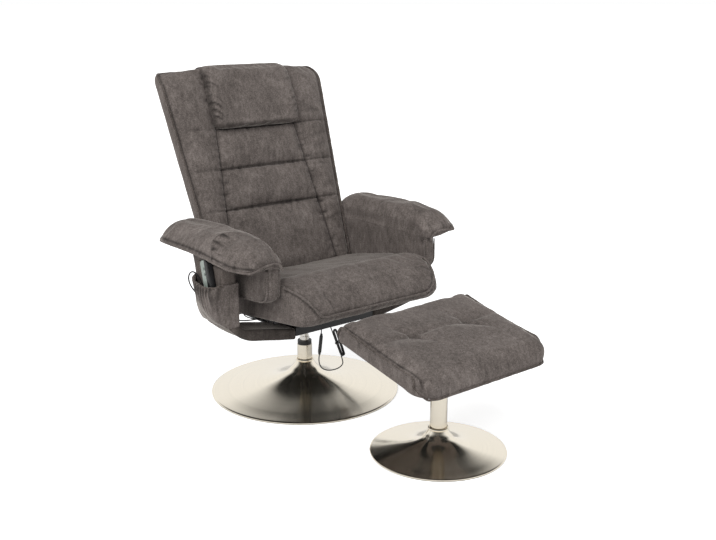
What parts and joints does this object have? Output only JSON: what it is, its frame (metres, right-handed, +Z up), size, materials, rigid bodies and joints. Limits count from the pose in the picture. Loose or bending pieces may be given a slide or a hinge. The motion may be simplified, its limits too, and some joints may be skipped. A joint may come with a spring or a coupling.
{
  "type": "massage armchair with footstool",
  "caption": "Upholstered swivel recliner with body massage and a matching sloped footstool, both on round trumpet bases of brushed metal.",
  "frame": {"origin": "centre of the chair's round base, on the floor", "axes": "+Z up, -Y the way the chair faces (towards its footstool), +X the sitter's left"},
  "size_m": [0.8609, 1.1797, 1.0264],
  "materials": {
    "plywood": "bare plywood",
    "zinc_steel": "zinc plated",
    "upholstery": "taupe-grey chenille with a short mottled nap",
    "black_plastic": "fine moulded texture",
    "black_steel": "satin black powder coat",
    "floor_pad": "smooth",
    "champagne_metal": "fine circular brushing, satin nickel with a warm tint",
    "silver_plastic": "silver-grey moulded shell",
    "lead_sheath": "black cable sheath",
    "band_cloth": "the same taupe-grey cloth, tightly drawn",
    "key_plastic": "satin key caps",
    "underside_cloth": "thin black non-woven cloth",
    "timber": "bare softwood",
    "webbing": "woven elastic strap",
    "bright_steel": "ground and polished"
  },
  "bodies": {
    "stand": {"chair_base_shell": "champagne_metal", "chair_base_pad": "floor_pad", "chair_base_plate": "black_steel", "chair_column": "champagne_metal", "column_top_bush": "black_plastic", "column_lower_bush": "black_plastic", "base_bolts": "zinc_steel", "neck_rings": "champagne_metal", "stool_base_shell": "champagne_metal", "stool_base_pad": "floor_pad", "stool_base_plate": "black_steel", "stool_column": "champagne_metal", "stool_top_plate": "black_steel", "stool_board": "plywood", "stool_cushion": "upholstery", "stool_motors": "black_plastic"},
    "chair": {"arm_boards": "plywood", "arm_spacers": "zinc_steel", "control_box": "black_plastic", "frame_bolts": "zinc_steel", "handset_face": "silver_plastic", "handset_lead": "lead_sheath", "handset_pocket": "band_cloth", "handset_rear_case": "black_plastic", "hank_tie": "black_plastic", "hinge_brackets": "black_steel", "hinge_pins": "zinc_steel", "lead_connector": "black_plastic", "lead_drop": "lead_sheath", "lead_hank": "lead_sheath", "lead_loop": "lead_sheath", "left_arm_panel": "upholstery", "left_arm_roll": "upholstery", "left_band_pad": "band_cloth", "mechanism_pan": "black_steel", "right_arm_panel": "upholstery", "right_arm_roll": "upholstery", "right_band_pad": "band_cloth", "seat_crossbars": "black_steel", "seat_cushion": "upholstery", "seat_dust_cover": "underside_cloth", "seat_end_rails": "timber", "seat_motor_lead": "lead_sheath", "seat_motors": "black_plastic", "seat_side_rails": "timber", "seat_webbing": "webbing", "spindle_clip": "zinc_steel", "support_bars": "black_steel", "swivel_socket": "black_steel", "swivel_spindle": "bright_steel"},
    "back": {"back_cushion": "upholstery", "back_panel": "plywood", "back_posts": "black_steel", "back_motors": "black_plastic", "headrest_cushion": "upholstery"},
    "lever": {"recline_lever": "black_steel", "lever_grip": "black_plastic"},
    "power": {"power_key": "key_plastic"},
    "mode": {"mode_key": "key_plastic"},
    "intensity": {"intensity_key": "key_plastic"}
  },
  "joints": [
    {"name": "chair_swivel", "type": "hinge", "parent": "stand", "child": "chair", "pos_m": [0, 0, 0.165], "axis": [0, 0, 1], "continuous": true},
    {"name": "back_recline", "type": "hinge", "parent": "chair", "child": "back", "pos_m": [0, 0.12, 0.352], "axis": [-1, 0, 0], "range_deg": [0, 30]},
    {"name": "lever_pull", "type": "hinge", "parent": "chair", "child": "lever", "pos_m": [0.2, 0.045, 0.272], "axis": [1, 0, 0], "range_deg": [0, 28], "stiffness_Nm_per_rad": 4, "springref_deg": -8.59},
    {"name": "power_press", "type": "slide", "parent": "chair", "child": "power", "axis": [1, 0, 0], "range_m": [0, 0.0008], "stiffness_N_per_m": 900, "springref_m": -0.0006},
    {"name": "mode_press", "type": "slide", "parent": "chair", "child": "mode", "axis": [1, 0, 0], "range_m": [0, 0.0008], "stiffness_N_per_m": 900, "springref_m": -0.0006},
    {"name": "intensity_press", "type": "slide", "parent": "chair", "child": "intensity", "axis": [1, 0, 0], "range_m": [0, 0.0008], "stiffness_N_per_m": 900, "springref_m": -0.0006}
  ]
}
